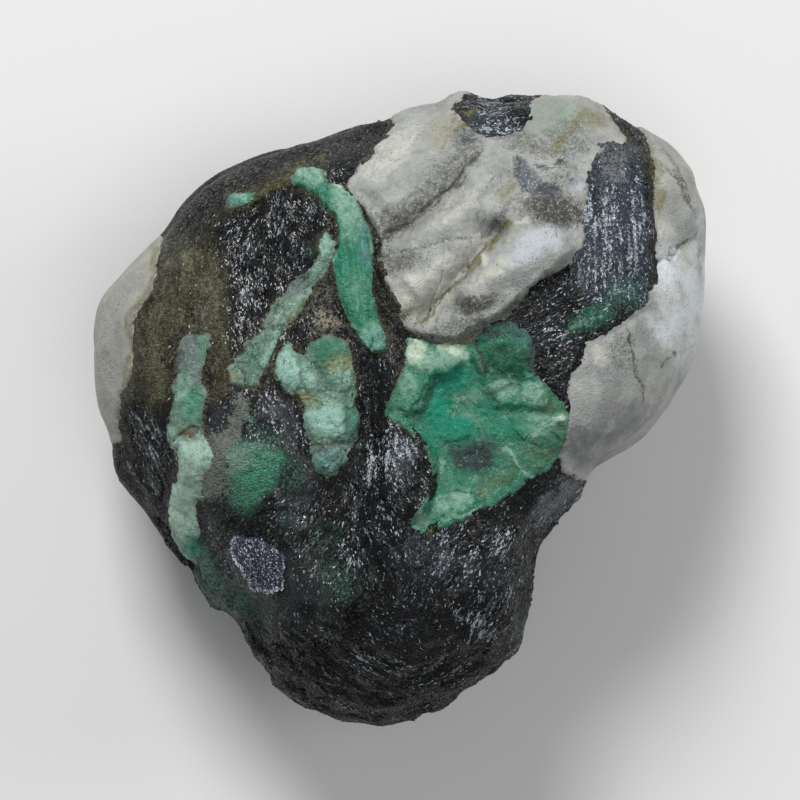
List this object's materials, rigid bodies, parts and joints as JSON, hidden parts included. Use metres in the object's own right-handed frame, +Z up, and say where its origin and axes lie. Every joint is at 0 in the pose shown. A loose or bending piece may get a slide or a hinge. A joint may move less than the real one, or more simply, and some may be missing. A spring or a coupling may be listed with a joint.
{
  "type": "emerald in matrix",
  "caption": "Waterworn cobble of dark mica schist with milky quartz masses and emerald crystals grown in it, lying on a flat cleavage face.",
  "frame": {"origin": "middle of the stone's bounding box in plan, on the surface it lies on", "axes": "+Z up out of the face that shows the crystals; +Y from the blunt schist end to the quartz crown; +X towards the quartz flank"},
  "size_m": [0.0499, 0.0517, 0.0291],
  "materials": {
    "schist": "foliated biotite mica schist, glittering with small flakes, worn satin on its high edges",
    "quartz": "milky waterworn quartz, waxy, with yellow stained cracks",
    "emerald": "saturated green beryl, glassy to waxy, slightly translucent",
    "pale_emerald": "pale mint green beryl, waxy and frosted",
    "silver_mica": "silver violet mica book with a pearly glitter"
  },
  "bodies": {
    "root": {"schist_matrix": "schist", "quartz_crown": "quartz", "quartz_flank": "quartz", "quartz_lump": "quartz", "emerald_heart": "emerald", "emerald_blade": "emerald", "emerald_strip": "pale_emerald", "emerald_cluster": "pale_emerald", "emerald_ridge": "pale_emerald", "emerald_chip": "emerald", "mica_book": "silver_mica"}
  },
  "joints": []
}
